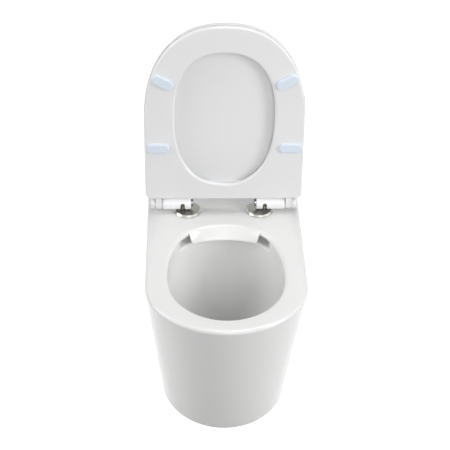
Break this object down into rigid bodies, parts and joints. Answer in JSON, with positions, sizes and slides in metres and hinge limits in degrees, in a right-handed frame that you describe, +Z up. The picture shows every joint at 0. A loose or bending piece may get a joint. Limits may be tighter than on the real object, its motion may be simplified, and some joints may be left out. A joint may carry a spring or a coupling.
{
  "type": "toilet",
  "caption": "Back to wall toilet: a tapered skirted pan with a rimless bowl and trap, a raised soft-close seat and lid on quick-release hinges.",
  "frame": {"origin": "on the floor at the finished wall, on the centre line of the pan", "axes": "+Z up, +Y into the wall, +X to the right as seen from the front; the front of the pan points along -Y"},
  "size_m": [0.366, 0.5173, 0.8631],
  "materials": {
    "glazed_ceramic": "glossy white glaze on vitreous china",
    "seat_plastic": "glossy white thermoset, compression moulded",
    "barrel_plastic": "glossy white, injection moulded",
    "buffer_plastic": "translucent soft plastic",
    "damper_plastic": "black, injection moulded",
    "bracket_plastic": "off-white, injection moulded",
    "rosette_steel": "brushed top with a polished rim",
    "post_steel": "polished stainless",
    "hub_zinc": "olive passivated",
    "zinc_steel": "bright zinc plated",
    "button_chrome": "polished",
    "cap_chrome": "polished, plated plastic",
    "seal_rubber": "black, moulded"
  },
  "bodies": {
    "pan": {"pan": "glazed_ceramic", "flush_seal": "seal_rubber", "floor_bracket_left": "bracket_plastic", "floor_bracket_right": "bracket_plastic", "side_screw_left": "zinc_steel", "side_screw_right": "zinc_steel", "side_cap_left": "cap_chrome", "side_cap_right": "cap_chrome", "rosette_gasket_left": "seal_rubber", "rosette_gasket_right": "seal_rubber", "rosette_left": "rosette_steel", "rosette_right": "rosette_steel", "hinge_post_left": "post_steel", "hinge_post_right": "post_steel", "seat_bolt_left": "post_steel", "seat_bolt_right": "post_steel", "deck_bush_left": "seal_rubber", "deck_bush_right": "seal_rubber", "bolt_nut_left": "zinc_steel", "bolt_nut_right": "zinc_steel"},
    "hinge_carrier": {"hinge_hub_left": "hub_zinc", "hinge_hub_right": "hub_zinc", "hinge_axle_left": "post_steel", "hinge_axle_right": "post_steel", "button_spring_left": "zinc_steel", "button_spring_right": "zinc_steel"},
    "button_left": {"release_button_left": "button_chrome"},
    "button_right": {"release_button_right": "button_chrome"},
    "seat": {"seat_ring": "seat_plastic", "hinge_barrel_left": "barrel_plastic", "hinge_damper_left": "damper_plastic", "seat_leaf_screws": "zinc_steel", "ear_bush_left": "damper_plastic", "ear_bush_right": "damper_plastic", "seat_buffer_front_left": "buffer_plastic", "seat_buffer_front_right": "buffer_plastic", "seat_buffer_rear_left": "buffer_plastic", "seat_buffer_rear_right": "buffer_plastic"},
    "lid": {"lid": "seat_plastic", "hinge_barrel_right": "barrel_plastic", "hinge_damper_right": "damper_plastic", "lid_leaf_screws": "zinc_steel", "knuckle_bush_left": "damper_plastic", "knuckle_bush_right": "damper_plastic", "lid_bumper_left": "buffer_plastic", "lid_bumper_right": "buffer_plastic"}
  },
  "joints": [
    {"name": "seat_lift_off", "type": "slide", "parent": "pan", "child": "hinge_carrier", "axis": [0, 0, 1], "range_m": [0, 0.03]},
    {"name": "lid_hinge", "type": "hinge", "parent": "hinge_carrier", "child": "lid", "pos_m": [0, -0.08, 0.423], "axis": [1, 0, 0], "range_deg": [0, 96.9]},
    {"name": "seat_hinge", "type": "hinge", "parent": "lid", "child": "seat", "pos_m": [0, -0.08, 0.423], "axis": [-1, 0, 0], "range_deg": [-96.9, 0]},
    {"name": "release_left", "type": "slide", "parent": "hinge_carrier", "child": "button_left", "axis": [-1, 0, 0], "range_m": [0, 0.003], "stiffness_N_per_m": 800, "springref_m": -0.002, "deforming": ["button_spring_left"]},
    {"name": "release_right", "type": "slide", "parent": "hinge_carrier", "child": "button_right", "axis": [1, 0, 0], "range_m": [0, 0.003], "stiffness_N_per_m": 800, "springref_m": -0.002, "deforming": ["button_spring_right"]}
  ]
}
